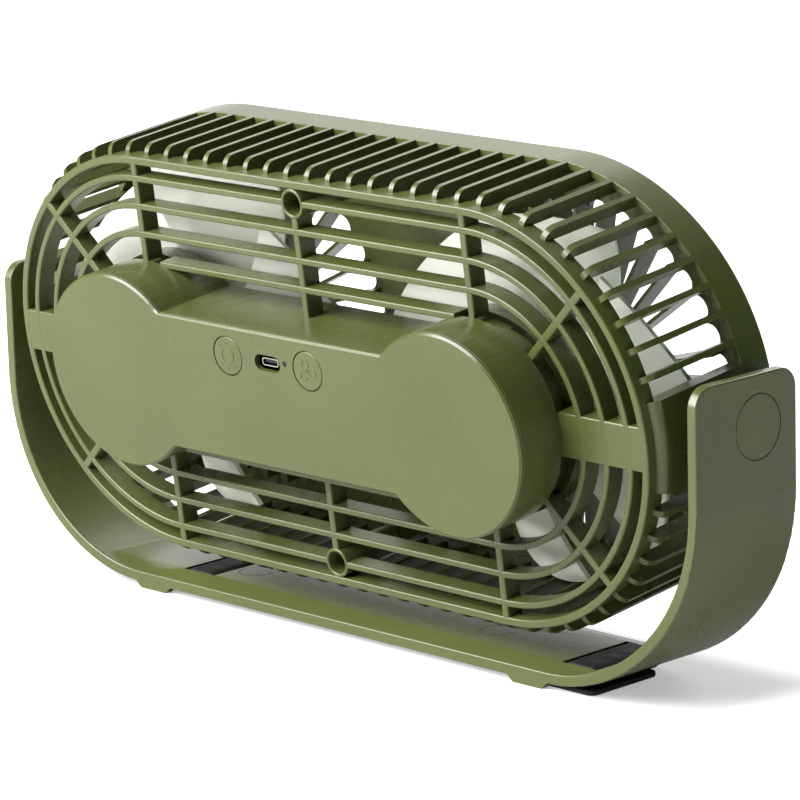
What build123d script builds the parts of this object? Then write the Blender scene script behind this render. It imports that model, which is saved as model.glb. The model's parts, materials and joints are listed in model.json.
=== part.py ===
from build123d import *
import os
from math import degrees, pi

# Twin-rotor camping fan. Millimetres, +Z up. The fan blows towards -Y and its buttons face +Y.
# The origin is the middle of the whole fan's footprint, on the ground.
# "Left" is the -X side and "right" is the +X side.
# The head is drawn upright round the pivot axis and then leans back by head_tilt.
# In the head, a depth is measured forwards (towards -Y) from the rear face of the rim.

# ---- Head: overall shape ----
head_tilt = 7.1              # degrees the head leans back
rotor_spacing = 154.0        # between the two rotor axes
rim_radius = 70.0            # round ends of the rear rim
head_depth = 56.5            # rear rim face to the front edge
rim_to_pivot = 33.7          # rear rim face to the pivot axis
slat_proud = 3.8             # the slats and the front band stand out from the rim by this
shell_wall = 2.5             # wall of the front band

# ---- Head: rear grille ----
rim_width = 2.8
grille_depth = 7.0
ring_width = 2.3
first_ring_inset = 7.7       # outside of the rim to the middle of the first ring
ring_pitch = 9.8
ring_count = 4
rib_width = 2.8
side_arm_height = 14.8
boss_inset = 7.8             # outside of the rim to the middle of a screw boss
boss_radius = 5.15
boss_hole_radius = 3.85
boss_depth = 26.0
boss_floor = 2.0

# ---- Head: slats, band and side blocks ----
slat_pitch = 9.72
slat_thickness = 2.0
slat_height = 4.6            # across the shell
slat_setback = 3.2           # rim face to the rear end of a slat
slat_corner = 4.0
straight_slats = 8           # on each half of the straight top and bottom
band_width = 12.8
band_edge = 1.1              # rounding of the front edge
side_block_height = 30.6
side_block_thickness = 8.0
side_block_corner = 4.0

# ---- Compartment and cover ----
pod_radius = 33.9
bar_height = 47.0
compartment_wall = 2.0
compartment_front = 15.0     # depth of the compartment's front face
cover_standout = 18.7        # rear face of the cover, behind the rim
cover_thickness = 2.0
cover_edge = 0.7
cover_lip_height = 2.0
cover_lip_wall = 1.5
cover_post_radius = 3.0
cover_post_spacing = 48.0
slip = 0.15                  # gap round a part that slips into another

# ---- Buttons, socket and indicator ----
controls_height = 13.3       # above the middle of the head
controls_shift = 0.6         # of the whole group, to the right
button_spacing = 37.8
button_radius = 6.6
button_gap = 0.3
button_edge = 0.4
button_travel = 0.6
button_flange = 1.0          # both its width and its thickness
stem_radius = 1.7
plunger_depth = 0.9          # of the plunger into its switch
cutout_width = 11.9
cutout_height = 5.5
socket_width = 7.5
socket_height = 2.7
socket_wall = 0.35
socket_sink = 1.4            # mouth of the socket, in from the cover face
tongue_thickness = 0.7
tongue_sink = 0.8
indicator_offset = 8.3       # left of the socket
indicator_height = 14.3
indicator_radius = 0.8

# ---- Control board ----
board_width = 72.0
board_gap = 4.0              # above and below the board, to the compartment's walls
board_thickness = 1.6
board_standoff = 6.4
board_post_radius = 2.6
board_post_inset = 3.5
board_screw_length = 6.0
switch_size = 6.2
switch_height = 3.6
wire_radius = 0.7
lead_radius = 0.6
lead_bend = 2.0
lead_drop = 14.0             # of the lamp lead, in front of the compartment

# ---- Battery ----
cell_radius = 9.2
cell_length = 65.0
cell_spacing = 18.6
cell_gap = 0.1
cell_cap_radius = 2.6
cell_cap_height = 1.0
holder_wall = 1.0

# ---- Motors ----
motor_radius = 13.8
motor_length = 21.0
motor_wall = 1.2
end_cap_thickness = 2.4
collar_radius = 3.6
collar_length = 3.5
shaft_radius = 1.15
shaft_reach = 18.5           # of the shaft out of the compartment
shaft_gap = 0.03
bush_radius = 2.6
magnet_thickness = 2.2
magnet_length = 14.0
armature_gap = 0.6
armature_length = 11.0
spacer_radius = 2.4
end_play = 0.3
motor_screw_spacing = 16.4
motor_screw_length = 4.0

# ---- Impellers ----
impeller_radius = 61.0
hub_radius = 13.5
hub_wall = 1.6
hub_start = 17.6             # depth of the hub's rear edge
hub_length = 20.0
hub_boss_radius = 4.0
hub_edge = 1.5
blade_count = 6
blade_thickness = 1.5
blade_middle = 29.0          # depth of the blades' middle
blade_camber = 0.075         # rise of a blade's section over its chord
root_chord = 24.0
root_angle = 50.0            # degrees from the plane of rotation
root_sweep = -8.5            # of the section's middle, across the blade
middle_radius = 38.0         # of the section between the root and the tip
middle_chord = 41.0
middle_angle = 28.0
middle_sweep = -11.0
tip_chord = 55.0
tip_angle = 20.0

# ---- Front grille and lamp ----
opening_radius = 60.0
front_sink = 2.0             # the front grille lies this far behind the band's edge
front_plate = 2.5
slot_corner = 4.0            # round outer corners of the slots
vane_count = 36
vane_thickness = 1.2
vane_depth = 8.5
front_hub_radius = 19.0
front_post_radius = 4.0
lamp_window_radius = 11.3
lamp_radius = 14.0
lamp_wall = 1.4
lamp_length = 24.0
lens_flange = 1.1
lens_flange_thickness = 1.5
lens_dome = 1.6
lens_gap = 0.1
lamp_board_thickness = 1.2
led_size = 3.5
led_height = 0.9
reflector_wall = 0.8
reflector_throat = 3.4

# ---- Screws ----
screw_radius = 1.5
screw_head_radius = 2.8
screw_head_height = 2.0
housing_screw_length = 12.0
small_screw_radius = 1.1
small_head_radius = 2.1
small_head_height = 1.3
cover_screw_length = 10.0
screw_gap = 0.15
thread_bite = 0.1            # a core hole is under its screw's radius by this

# ---- Pivots ----
pivot_boss_radius = 11.0
pivot_boss_proud = 3.0       # of the head's boss, from its side block
pivot_washer_thickness = 1.2
pivot_washer_radius = 10.0
shoulder_radius = 2.5
pivot_fit = 0.05
pivot_thread_radius = 2.0
pivot_thread_length = 6.0
pivot_head_radius = 4.6
pivot_head_height = 2.4
pivot_head_gap = 0.4
pivot_play = 0.05
insert_radius = 3.2
insert_length = 7.0
pivot_cap_radius = 10.4
pivot_cap_thickness = 1.2
cap_groove = 0.25

# ---- Stand ----
head_room = 8.4              # between the raised floor and the head
arm_gap = 4.2                # between a pivot washer and the inside of its arm
pivot_offset = -5.4          # pivot axis from the middle of the stand's depth
stand_depth = 47.0
stand_wall = 3.8
stand_corner = 66.0
stand_edge = 0.6
arm_above_pivot = 16.7
arm_corner = 7.0
foot_height = 2.0
foot_length = 17.0
foot_flat = 12.5
foot_depth = 3.2
foot_inset = 7.5             # middle of a foot, before the start of a corner
floor_rise = 2.4
floor_ramp = 7.0
floor_overrun = 19.0         # of the raised floor, into each corner
floor_sink = 0.5

# ---- Strap and floor plugs ----
strap_thickness = 1.5
strap_width = 30.0
strap_shift = 1.5            # towards the rear
strap_proud = 0.2            # of the strap, from the raised floor
strap_gap = 0.3
strap_bend = 3.0             # outer radius of the strap's folds
strap_end_gap = 2.0
tab_lift = 0.1               # above the ground
tab_thickness = 1.8
tab_length = 29.0
tab_width = 31.5
tab_corner = 3.0
tab_shift = 4.2              # towards the rear
tab_overhang = 1.2           # past the left end of the strap
loop_width = 14.6
right_loop_inset = 24.4      # middle of the loop, before the start of the right corner
left_loop_overrun = 9.5      # middle of the loop, past the start of the left corner
plug_inset = 39.2            # middle of a plug, before the start of a corner
plug_shift = 3.7
plug_radius = 5.8
plug_thickness = 2.0
plug_groove = 0.2

# ---- Worked-out sizes ----
axle = rotor_spacing / 2
shell_radius = rim_radius + slat_proud
boss_height = rim_radius - boss_inset
band_start = head_depth - band_width
bar_half = bar_height / 2
board_height = 2 * (bar_half - compartment_wall - board_gap)
cover_face = -cover_standout
cover_inside = cover_face + cover_thickness
wall_inside = compartment_front - compartment_wall
board_rear = cover_inside + board_standoff
board_front = board_rear + board_thickness
switch_face = board_rear - switch_height
flange_front = cover_inside + button_flange
plunger_rear = (flange_front + switch_face) / 2
fan_button_x = controls_shift - button_spacing / 2
light_button_x = controls_shift + button_spacing / 2
holder_front = wall_inside
cell_depth = holder_front - holder_wall - cell_radius
cell_height = cell_spacing / 2
holder_half_height = cell_height + cell_radius + cell_gap + holder_wall
holder_half_length = cell_length / 2 + cell_cap_height + cell_gap + holder_wall
motor_rear = wall_inside - motor_length
can_inside = wall_inside - motor_wall
can_bore = motor_radius - motor_wall
end_cap_front = motor_rear + end_cap_thickness
magnet_bore = can_bore - magnet_thickness
armature_middle = (end_cap_front + can_inside) / 2
armature_rear = armature_middle - armature_length / 2
armature_front = armature_middle + armature_length / 2
shaft_tip = compartment_front + shaft_reach
hub_end = hub_start + hub_length
grille_front = head_depth - front_sink
plate_back = grille_front - front_plate
grille_fit_radius = shell_radius - shell_wall - slip
lamp_rear = plate_back - lamp_length
lamp_bore = lamp_radius - lamp_wall
lamp_board_rear = lamp_rear + lamp_wall
lamp_board_front = lamp_board_rear + lamp_board_thickness
lens_rear = plate_back - lens_flange_thickness
pivot_face = axle + shell_radius + pivot_boss_proud
washer_face = pivot_face + pivot_washer_thickness
arm_inside = washer_face + arm_gap
arm_outside = arm_inside + stand_wall
stand_width = 2 * arm_outside
cap_seat = arm_outside - pivot_cap_thickness
screw_seat = cap_seat - pivot_play - pivot_head_height
stand_bottom = foot_height
floor_inside = stand_bottom + stand_wall
floor_top = floor_inside + floor_rise
pivot_height = floor_top + head_room + shell_radius
corner_start = arm_outside - stand_corner
floor_length = 2 * (corner_start + floor_overrun)
foot_spacing = 2 * (corner_start - foot_inset)
plug_spacing = 2 * (corner_start - plug_inset)
right_loop = corner_start - right_loop_inset
left_loop = corner_start + left_loop_overrun
strap_low = tab_lift + tab_thickness
strap_high = floor_top + strap_proud
bar_width = loop_width - 2 * (strap_thickness + strap_gap)
bar_low = strap_low + strap_thickness + strap_gap
bar_high = strap_high - strap_thickness - strap_gap
strap_end = left_loop + loop_width / 2
head_place = Pos(0, pivot_offset, pivot_height) * Rot(-head_tilt, 0, 0)
both = (-1, 1)


# ---- Helpers ----
def stadium(radius):
    """Stadium round both rotor axes."""
    return SlotCenterToCenter(rotor_spacing, 2 * radius)


def dumbbell(radius, half_height):
    """Disc on each rotor axis and a bar between them."""
    shape = Rectangle(rotor_spacing, 2 * half_height)
    return shape + [Pos(side * axle, 0) * Circle(radius) for side in both]


def slab(sketch, start, end):
    """Extrude an X-Z sketch forwards from one depth to another."""
    return extrude(Plane.XZ.offset(start - rim_to_pivot) * sketch, end - start)


def rod(radius, start, end, x=0.0, z=0.0):
    """Round rod along the depth."""
    return slab(Pos(x, z) * Circle(radius), start, end)


def tube(outer, inner, start, end, x=0.0, z=0.0):
    """Round tube along the depth."""
    return slab(Pos(x, z) * (Circle(outer) - Circle(inner)), start, end)


def side_rod(side, radius, start, end):
    """Round rod on the pivot axis, between two distances from the middle."""
    low = min(side * start, side * end)
    return extrude(Plane.YZ.offset(low) * Circle(radius), end - start)


def screw_forwards(head_radius, head_height, radius, length, seat):
    """Pan-head screw pushed in from the rear, with its head against the seat."""
    return rod(head_radius, seat - head_height, seat) + rod(radius, seat, seat + length)


def screw_backwards(head_radius, head_height, radius, length, seat):
    """Pan-head screw pushed in from the front, with its head against the seat."""
    return rod(head_radius, seat, seat + head_height) + rod(radius, seat - length, seat)


def spots(x, z):
    """Four spots, one in each quarter."""
    return [(side * x, way * z) for side in both for way in both]


# ---- Rear housing and side shell ----
def grille_sketch():
    """Rim, rings, ribs, side arms and screw bosses of the rear grille."""
    reach = rim_radius - rim_width / 2
    bars = stadium(rim_radius) - stadium(rim_radius - rim_width)
    for index in range(ring_count):
        radius = rim_radius - first_ring_inset - index * ring_pitch
        bars += stadium(radius + ring_width / 2) - stadium(radius - ring_width / 2)
    bars += [Pos(x, 0) * Rectangle(rib_width, 2 * reach) for x in (-axle, 0, axle)]
    for side in both:
        for lean in (-45, 45):
            diagonal = Pos(side * reach / 2, 0) * Rectangle(reach, rib_width)
            bars += Pos(side * axle, 0) * Rot(0, 0, lean) * diagonal
    bars += Rectangle(2 * (axle + reach), side_arm_height)
    bars += [Pos(0, way * boss_height) * Circle(boss_radius) for way in both]
    bars -= [Pos(0, way * boss_height) * Circle(boss_hole_radius) for way in both]
    return bars - dumbbell(pod_radius - compartment_wall, bar_half - compartment_wall)


def slat():
    """One slat, standing on top of the head at its middle."""
    front = rim_to_pivot - band_start - shell_wall
    rear = rim_to_pivot - slat_setback
    middle = (front + rear) / 2
    outline = Pos(middle, shell_radius - slat_height / 2) * Rectangle(rear - front, slat_height)
    rear_top = outline.vertices().sort_by(Axis.X)[-2:].sort_by(Axis.Y)[-1]
    outline = fillet(rear_top, slat_corner)
    return extrude(Plane.YZ.offset(-slat_thickness / 2) * outline, slat_thickness)


def all_slats():
    """Slats at one pitch all round the head, left out at the side blocks."""
    one = slat()
    places = []
    for index in range(straight_slats):
        places.append(Pos((index + 0.5) * slat_pitch, 0, 0))
    step = slat_pitch / shell_radius
    angle = ((straight_slats + 0.5) * slat_pitch - axle) / shell_radius
    last = pi / 2 - (side_block_height + slat_pitch) / 2 / shell_radius
    while angle < last:
        places.append(Pos(axle, 0, 0) * Rot(0, degrees(angle), 0))
        angle += step
    quarter = [place * one for place in places]
    half = quarter + [mirror(item, Plane.YZ) for item in quarter]
    return half + [mirror(item, Plane.XY) for item in half]


def side_block(side):
    """Solid block behind the pivot, with a rounded rear end."""
    ring = stadium(shell_radius) - stadium(shell_radius - side_block_thickness)
    window = Pos(side * (axle + rim_radius), 0) * Rectangle(rim_radius, side_block_height)
    block = slab(ring & window, slat_setback, plate_back)
    rear_arcs = block.edges().filter_by(GeomType.CIRCLE).sort_by(Axis.Y)[-2:]
    return fillet(rear_arcs.sort_by(SortBy.RADIUS)[-1], side_block_corner)


def front_band():
    """Smooth band round the front of the head."""
    wall = stadium(shell_radius) - stadium(shell_radius - shell_wall)
    band = slab(wall, band_start, head_depth)
    return fillet(band.edges().group_by(Axis.Y)[0], band_edge)


def compartment():
    """Walls and front wall of the compartment."""
    outline = dumbbell(pod_radius, bar_half)
    hollow = dumbbell(pod_radius - compartment_wall, bar_half - compartment_wall)
    walls = slab(outline - hollow, cover_inside, wall_inside)
    return walls + slab(outline, wall_inside, compartment_front)


def rear_housing():
    """Rear grille, screw bosses and compartment in one moulding."""
    housing = slab(grille_sketch(), 0, grille_depth) + compartment()
    clearance = small_screw_radius + screw_gap
    for side in both:
        x = side * axle
        housing -= rod(collar_radius + slip, wall_inside, compartment_front, x)
        for way in both:
            post_z = way * cover_post_spacing / 2
            screw_x = x + way * motor_screw_spacing / 2
            housing -= rod(clearance, wall_inside, compartment_front, x, post_z)
            housing -= rod(clearance, wall_inside, compartment_front, screw_x)
    floor_start = boss_depth - boss_floor
    for way in both:
        z = way * boss_height
        housing += tube(boss_radius, boss_hole_radius, 0, floor_start, 0, z)
        housing += tube(boss_radius, screw_radius + screw_gap, floor_start, boss_depth, 0, z)
    lead_z = bar_half - compartment_wall - lead_radius - slip
    housing -= rod(lead_radius + slip, wall_inside, compartment_front, 0, lead_z)
    return housing


def side_shell():
    """Slats, front band, side blocks and pivot bosses in one moulding round the rear grille."""
    shell = front_band() + all_slats() + [side_block(side) for side in both]
    shell -= slab(stadium(rim_radius), 0, grille_depth)
    boss_start = pivot_face - pivot_boss_proud - side_block_thickness / 2
    for side in both:
        shell += side_rod(side, pivot_boss_radius, boss_start, pivot_face)
        shell -= side_rod(side, insert_radius, pivot_face - insert_length, pivot_face)
    return shell


# ---- Cover ----
def rear_cover():
    """Lid of the compartment, with its openings and the posts that hold it."""
    cover = slab(dumbbell(pod_radius, bar_half), cover_face, cover_inside)
    cover = chamfer(cover.edges().group_by(Axis.Y)[-1], cover_edge)
    lip_outside = pod_radius - compartment_wall - slip
    lip_half = bar_half - compartment_wall - slip
    lip = dumbbell(lip_outside, lip_half)
    lip -= dumbbell(lip_outside - cover_lip_wall, lip_half - cover_lip_wall)
    lip_end = cover_inside + cover_lip_height
    cover += slab(lip, cover_inside, lip_end)
    post_x = board_width / 2 - board_post_inset
    post_z = board_height / 2 - board_post_inset
    for x, z in spots(post_x, post_z):
        cover += rod(board_post_radius, cover_inside, board_rear, x, z)
        cover -= rod(small_screw_radius - thread_bite, cover_inside, board_rear, x, z)
    core_start = wall_inside - cover_screw_length
    for x, z in spots(axle, cover_post_spacing / 2):
        cover += rod(cover_post_radius, cover_inside, wall_inside, x, z)
        cover -= rod(small_screw_radius - thread_bite, core_start, wall_inside, x, z)
    room = button_radius + button_flange + button_gap
    for x in (fan_button_x, light_button_x):
        cover -= rod(button_radius + button_gap, cover_face, cover_inside, x, controls_height)
        cover -= rod(room, cover_inside, lip_end, x, controls_height)
    cutout = Pos(controls_shift, controls_height) * SlotOverall(cutout_width, cutout_height)
    cover -= slab(cutout, cover_face, cover_inside)
    light_x = controls_shift - indicator_offset
    cover -= rod(indicator_radius + slip, cover_face, cover_inside, light_x, indicator_height)
    return cover


def button(x):
    """Round button with a flange behind the cover and a stem."""
    cap = rod(button_radius, cover_face, cover_inside, x, controls_height)
    cap = fillet(cap.edges().sort_by(Axis.Y)[-1], button_edge)
    cap += rod(button_radius + button_flange, cover_inside, flange_front, x, controls_height)
    return cap + rod(stem_radius, flange_front, plunger_rear, x, controls_height)


def switch_plunger(x):
    """Plunger of a switch, pushed by the button's stem."""
    return rod(stem_radius, plunger_rear, switch_face + plunger_depth, x, controls_height)


def tact_switches():
    """Two push switches with open bores for their plungers."""
    bore_end = switch_face + plunger_depth + button_travel + button_gap
    switches = []
    for x in (fan_button_x, light_button_x):
        outline = Pos(x, controls_height) * Rectangle(switch_size, switch_size)
        body = slab(outline, switch_face, board_rear)
        body -= rod(stem_radius + button_gap, switch_face, bore_end, x, controls_height)
        switches.append(body)
    return Compound(children=switches)


def usb_socket():
    """Metal shell of the charging socket."""
    outline = RectangleRounded(socket_width, socket_height, socket_height / 3)
    outline = Pos(controls_shift, controls_height) * outline
    hollow = offset(outline, -socket_wall)
    shell = slab(outline - hollow, cover_face + socket_sink, board_rear)
    return shell + slab(hollow, board_rear - socket_wall, board_rear)


def socket_tongue():
    """Contact tongue inside the charging socket."""
    width = socket_width - 4 * socket_wall
    outline = Pos(controls_shift, controls_height) * Rectangle(width, tongue_thickness)
    start = cover_face + socket_sink + tongue_sink
    return slab(outline, start, board_rear - socket_wall)


def indicator_light():
    """Small light pipe from the board to the cover."""
    x = controls_shift - indicator_offset
    return rod(indicator_radius, cover_face + slip, board_rear, x, indicator_height)


def control_board():
    """Circuit board on the posts of the cover."""
    board = slab(Rectangle(board_width, board_height), board_rear, board_front)
    x = board_width / 2 - board_post_inset
    z = board_height / 2 - board_post_inset
    for spot in spots(x, z):
        board -= rod(small_screw_radius + screw_gap, board_rear, board_front, *spot)
    return board


def board_screws():
    """Four screws that hold the board."""
    x = board_width / 2 - board_post_inset
    z = board_height / 2 - board_post_inset
    one = screw_backwards(
        small_head_radius, small_head_height, small_screw_radius, board_screw_length, board_front
    )
    return Compound(children=[Pos(x, 0, z) * one for x, z in spots(x, z)])


def cover_screws():
    """Four screws from the front of the compartment into the cover's posts."""
    one = screw_backwards(
        small_head_radius, small_head_height, small_screw_radius, cover_screw_length, compartment_front
    )
    places = spots(axle, cover_post_spacing / 2)
    return Compound(children=[Pos(x, 0, z) * one for x, z in places])


def motor_leads():
    """Wires from the board to both motors."""
    length = axle - can_bore / 2 - board_width / 2
    plane = Plane.YZ.offset(board_width / 2)
    y = rim_to_pivot - motor_rear + wire_radius
    wires = []
    for z in (-motor_screw_spacing / 4, motor_screw_spacing / 4):
        wire = extrude(plane * Pos(y, z) * Circle(wire_radius), length)
        wires += [wire, mirror(wire, Plane.YZ)]
    return Compound(children=wires)


def lamp_lead():
    """Wire from the board, round the battery, to the lamp."""
    top = bar_half - compartment_wall - lead_radius - slip
    middle = (compartment_front + lamp_rear) / 2
    board_middle = rim_to_pivot - (board_rear + board_front) / 2
    path = FilletPolyline(
        (0, board_middle, board_height / 2),
        (0, board_middle, top),
        (0, rim_to_pivot - middle, top),
        (0, rim_to_pivot - middle, top - lead_drop),
        (0, rim_to_pivot - lamp_rear, top - lead_drop),
        radius=lead_bend,
    )
    return sweep(Plane(path @ 0, z_dir=path % 0) * Circle(lead_radius), path)


# ---- Battery ----
def battery_cells():
    """Two round cells side by side, pointing opposite ways."""
    cells = []
    for side in both:
        centre = Pos(0, rim_to_pivot - cell_depth, side * cell_height)
        body = Cylinder(cell_radius, cell_length, rotation=(0, 90, 0))
        cap = Pos(side * (cell_length + cell_cap_height) / 2, 0, 0)
        cap *= Cylinder(cell_cap_radius, cell_cap_height, rotation=(0, 90, 0))
        cells.append(centre * (body + cap))
    return Compound(children=cells)


def battery_holder():
    """Open tray round the cells."""
    outline = Rectangle(2 * holder_half_length, 2 * holder_half_height)
    hollow = offset(outline, -holder_wall, kind=Kind.INTERSECTION)
    tray = slab(outline, cell_depth, holder_front)
    return tray - slab(hollow, cell_depth, holder_front - holder_wall)


# ---- Motors ----
def motor_can(x):
    """Steel can with a closed front and a collar through the compartment wall."""
    can = tube(motor_radius, can_bore, motor_rear, can_inside)
    can += tube(motor_radius, bush_radius, can_inside, wall_inside)
    can += tube(collar_radius, bush_radius, wall_inside, wall_inside + collar_length)
    for way in both:
        core = rod(small_screw_radius - thread_bite, can_inside, wall_inside)
        can -= Pos(way * motor_screw_spacing / 2, 0, 0) * core
    return Pos(x, 0, 0) * can


def motor_end_cap(x):
    """Plastic end of the motor, round the rear bush."""
    return tube(can_bore, bush_radius, motor_rear, end_cap_front, x)


def motor_bushes(x):
    """Bronze bushes at both ends of the motor."""
    bore = shaft_radius + shaft_gap
    front = tube(bush_radius, bore, can_inside, wall_inside + collar_length, x)
    rear = tube(bush_radius, bore, motor_rear, end_cap_front, x)
    return Compound(children=[front, rear])


def motor_magnets(x):
    """Two curved magnets inside the can."""
    start = armature_middle - magnet_length / 2
    ring = tube(can_bore, magnet_bore, start, start + magnet_length)
    gap = slab(Rectangle(magnet_thickness, 2 * motor_radius), start, start + magnet_length)
    halves = (ring - gap).solids()
    return Compound(children=[Pos(x, 0, 0) * half for half in halves])


def armature(x):
    """Wound core, commutator and spacers on the shaft."""
    core = tube(magnet_bore - armature_gap, shaft_radius, armature_rear, armature_front)
    core += tube(spacer_radius, shaft_radius, end_cap_front + end_play, armature_rear)
    core += tube(spacer_radius, shaft_radius, armature_front, can_inside - end_play)
    return Pos(x, 0, 0) * core


def motor_shaft(x):
    """Steel shaft from the rear bush to the impeller."""
    return rod(shaft_radius, motor_rear, shaft_tip, x)


def motor_screws():
    """Four screws that hold the motors to the front wall of the compartment."""
    one = screw_backwards(
        small_head_radius, small_head_height, small_screw_radius, motor_screw_length, compartment_front
    )
    offsets = [side * axle + way * motor_screw_spacing / 2 for side in both for way in both]
    return Compound(children=[Pos(x, 0, 0) * one for x in offsets])


# ---- Impellers ----
def blade_section(chord, angle, shift, distance):
    """Curved blade section, square to the radius at a distance from the axis."""
    end = chord / 2
    edge = blade_thickness / 2
    rise = blade_camber * chord
    outline = ThreePointArc((-end, edge), (0, rise + edge), (end, edge))
    outline += Line((end, edge), (end, -edge))
    outline += ThreePointArc((end, -edge), (0, rise - edge), (-end, -edge))
    outline += Line((-end, -edge), (-end, edge))
    return Pos(shift, 0, distance) * Rot(0, 0, angle) * make_face(outline)


def impeller(x):
    """Cup-shaped hub with curved blades, pushed on the shaft."""
    inside = hub_radius - hub_wall
    hub = rod(hub_radius, hub_start, hub_end)
    hub = fillet(hub.edges().sort_by(Axis.Y)[0], hub_edge)
    hub -= rod(inside, hub_start, hub_end - hub_wall)
    hub += rod(hub_boss_radius, hub_start, hub_end - hub_wall)
    hub -= rod(shaft_radius, hub_start, shaft_tip)
    root = blade_section(root_chord, root_angle, root_sweep, hub_radius / 2)
    middle = blade_section(middle_chord, middle_angle, middle_sweep, middle_radius)
    tip = blade_section(tip_chord, tip_angle, 0, impeller_radius + blade_thickness)
    blade = Pos(0, rim_to_pivot - blade_middle, 0) * loft([root, middle, tip])
    sweep_zone = tube(impeller_radius, hub_radius - hub_wall / 2, compartment_front, plate_back)
    blade = blade & sweep_zone
    turns = [360 / blade_count * index for index in range(blade_count)]
    return Pos(x, 0, 0) * (hub + [Rot(0, turn, 0) * blade for turn in turns])


# ---- Front grille and lamp ----
def grille_slot():
    """Slot to the right of a rotor axis, between two vanes, with round outer corners."""
    ring = Circle(opening_radius) - Circle(front_hub_radius)
    size = 2 * opening_radius
    half_plane = Pos(0, -(size + vane_thickness) / 2) * Rectangle(2 * size, size)
    half_step = 180 / vane_count
    slot = ring & (Rot(0, 0, half_step) * half_plane) & Pos(size / 2, 0) * Rectangle(size, size)
    slot &= Rot(0, 0, -half_step) * mirror(half_plane, Plane.XZ)
    return fillet(slot.vertices().sort_by(Axis.X)[-2:], slot_corner)


def front_grille():
    """Front panel with two slotted openings, deep vanes and the posts for the housing screws."""
    turns = [360 / vane_count * index for index in range(vane_count)]
    slot = grille_slot()
    length = opening_radius - front_hub_radius + vane_thickness
    middle = (opening_radius + front_hub_radius) / 2
    vane = Rot(0, 0, 180 / vane_count) * Pos(middle, 0) * Rectangle(length, vane_thickness)
    panel = stadium(grille_fit_radius) - Circle(lamp_window_radius)
    vanes = Sketch()
    for side in both:
        panel -= [Pos(side * axle, 0) * Rot(0, 0, turn) * slot for turn in turns]
        vanes += [Pos(side * axle, 0) * Rot(0, 0, turn) * vane for turn in turns]
    grille = slab(panel, plate_back, grille_front)
    grille += slab(vanes, grille_front - vane_depth, plate_back)
    for way in both:
        z = way * boss_height
        grille += rod(front_post_radius, boss_depth, plate_back, 0, z)
        grille -= rod(screw_radius - thread_bite, boss_depth, boss_depth + housing_screw_length, 0, z)
    return grille


def housing_screws():
    """Two screws at the bottom of the deep bosses."""
    one = screw_forwards(
        screw_head_radius,
        screw_head_height,
        screw_radius,
        housing_screw_length,
        boss_depth - boss_floor,
    )
    return Compound(children=[Pos(0, 0, way * boss_height) * one for way in both])


def lamp_housing():
    """Round cup behind the front panel that holds the lamp."""
    cup = rod(lamp_radius, lamp_rear, plate_back)
    return cup - rod(lamp_bore, lamp_board_rear, plate_back)


def lamp_board():
    """Round metal board of the lamp."""
    return rod(lamp_bore - slip, lamp_board_rear, lamp_board_front)


def lamp_led():
    """Light source on the lamp's board."""
    return slab(Rectangle(led_size, led_size), lamp_board_front, lamp_board_front + led_height)


def lamp_reflector():
    """Cone from the lamp's board to the lens."""
    length = lens_rear - lamp_board_front
    wide = lamp_bore - slip
    narrow = reflector_throat + reflector_wall
    middle = Pos(0, rim_to_pivot - (lamp_board_front + lens_rear) / 2, 0)
    outside = Cone(narrow, wide, length, rotation=(90, 0, 0))
    inside = Cone(reflector_throat, wide - reflector_wall, length, rotation=(90, 0, 0))
    return middle * (outside - inside)


def lamp_lens():
    """Domed lens with a flange behind the front panel."""
    body_radius = lamp_window_radius - lens_gap
    lens = rod(lamp_window_radius + lens_flange, lens_rear, plate_back)
    lens += rod(body_radius, plate_back, grille_front)
    dome = (body_radius**2 + lens_dome**2) / (2 * lens_dome)
    ball = Pos(0, rim_to_pivot - grille_front - lens_dome + dome, 0) * Sphere(dome)
    return lens + (ball & rod(body_radius, grille_front, grille_front + lens_dome))


# ---- Pivots ----
def pivot_insert(side):
    """Brass insert in the head's side block."""
    start = pivot_face - insert_length
    insert = side_rod(side, insert_radius, start, pivot_face)
    return insert - side_rod(side, pivot_thread_radius - thread_bite, start, pivot_face)


def pivot_washer(side):
    """Washer between the head and the arm."""
    washer = side_rod(side, pivot_washer_radius, pivot_face, washer_face)
    return washer - side_rod(side, shoulder_radius + slip, pivot_face, washer_face)


def pivot_screw(side):
    """Shoulder screw that turns with the head."""
    shank = side_rod(side, shoulder_radius, pivot_face, screw_seat)
    shank += side_rod(side, pivot_thread_radius, pivot_face - pivot_thread_length, pivot_face)
    return shank + side_rod(side, pivot_head_radius, screw_seat, screw_seat + pivot_head_height)


def pivot_cap(side):
    """Flush round cap over the pivot screw."""
    return side_rod(side, pivot_cap_radius, cap_seat, arm_outside)


# ---- Stand ----
def stand_profile():
    """Cross-section of the U-shaped stand, on the ground and seen from the front."""
    height = pivot_height + arm_above_pivot - stand_bottom
    outline = Pos(0, stand_bottom + height / 2) * Rectangle(stand_width, height)
    outline = fillet(outline.vertices().group_by(Axis.Y)[0], stand_corner)
    hollow = Pos(0, floor_inside + height / 2) * Rectangle(2 * arm_inside, height)
    hollow = fillet(hollow.vertices().group_by(Axis.Y)[0], stand_corner - stand_wall)
    return outline - hollow


def stand_floor():
    """Raised floor with a ramp at the front and at the rear."""
    outside = stand_depth / 2 - stand_edge
    inside = stand_depth / 2 - floor_ramp
    low = floor_inside - floor_sink
    outline = Polygon(
        (-outside, low),
        (outside, low),
        (outside, floor_inside),
        (inside, floor_top),
        (-inside, floor_top),
        (-outside, floor_inside),
        align=None,
    )
    return extrude(Plane.YZ.offset(-floor_length / 2) * outline, floor_length)


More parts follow.
